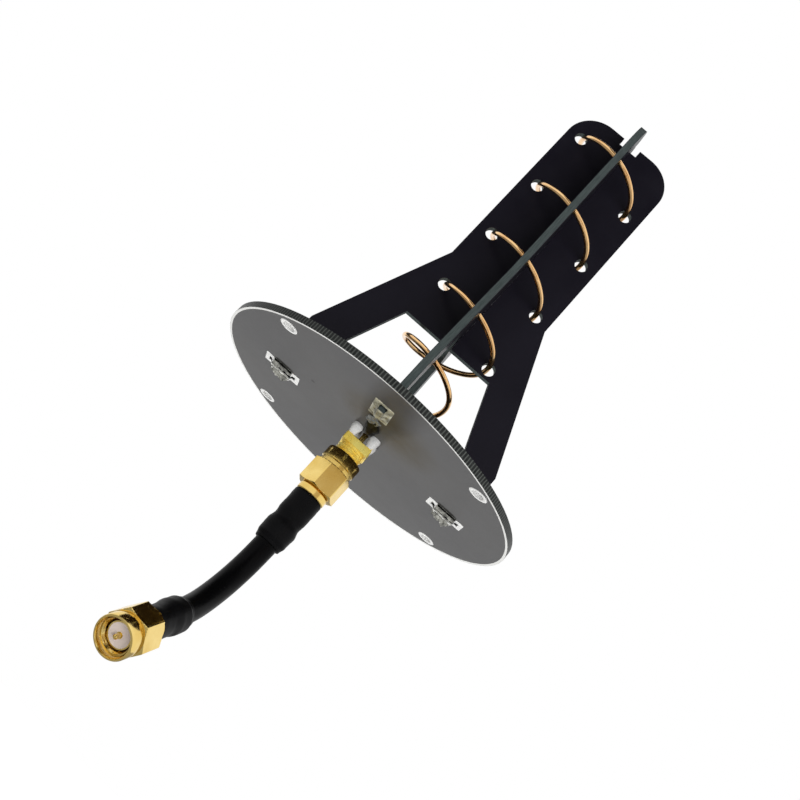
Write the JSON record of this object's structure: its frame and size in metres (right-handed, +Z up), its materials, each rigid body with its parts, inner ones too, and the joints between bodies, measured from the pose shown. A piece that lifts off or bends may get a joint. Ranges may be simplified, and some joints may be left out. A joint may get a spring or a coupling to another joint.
{
  "type": "helical antenna",
  "caption": "Axial helical antenna: copper wire helix on crossed blades over a round reflector disc, with a coaxial jack and a short screw-on pigtail.",
  "frame": {"origin": "centre of the reflector disc's front face, in the middle of its four mounting holes", "axes": "+Z up the helix axis towards the free tip, +X in the plane of the wide blade, cable on the -Z side"},
  "size_m": [0.074, 0.074, 0.1634],
  "materials": {
    "reflector_board": "grey solder mask, satin",
    "blade_board": "black solder mask, satin",
    "copper_wire": "enamelled copper",
    "gold_plate": "polished gold plate",
    "solder": "bright tin solder",
    "spring_wire": "plain bronze spring wire",
    "white_insulator": "white insulator",
    "gasket_rubber": "silicone rubber",
    "cable_jacket": "black satin jacket",
    "sleeve": "black shrink sleeve"
  },
  "bodies": {
    "antenna": {"ground_plane": "reflector_board", "wide_plate": "blade_board", "cross_plate": "blade_board", "helix_wire": "copper_wire", "feed_solder": "solder", "jack_body": "gold_plate", "jack_insulator": "white_insulator", "jack_contact": "gold_plate", "cable": "cable_jacket", "tab_solder_1": "solder", "leg_solder_1": "solder", "tab_solder_2": "solder", "leg_solder_2": "solder", "tab_solder_3": "solder", "leg_solder_3": "solder", "tab_solder_4": "solder", "leg_solder_4": "solder", "near_coupling_nut": "gold_plate", "near_plug_body": "gold_plate", "near_retaining_ring": "spring_wire", "near_gasket": "gasket_rubber", "near_insulator": "white_insulator", "near_centre_pin": "gold_plate", "near_cable_core": "white_insulator", "near_ferrule": "gold_plate", "near_heat_shrink": "sleeve", "far_plug_body": "gold_plate", "far_retaining_ring": "spring_wire", "far_gasket": "gasket_rubber", "far_insulator": "white_insulator", "far_centre_pin": "gold_plate", "far_cable_core": "white_insulator", "far_ferrule": "gold_plate", "far_heat_shrink": "sleeve"},
    "far_nut": {"far_coupling_nut": "gold_plate"}
  },
  "joints": [
    {"name": "far_nut_spin", "type": "hinge", "parent": "antenna", "child": "far_nut", "pos_m": [-0.00668, -0.03442, -0.06514], "axis": [-0.2045, -0.8011, -0.5625], "continuous": true}
  ]
}
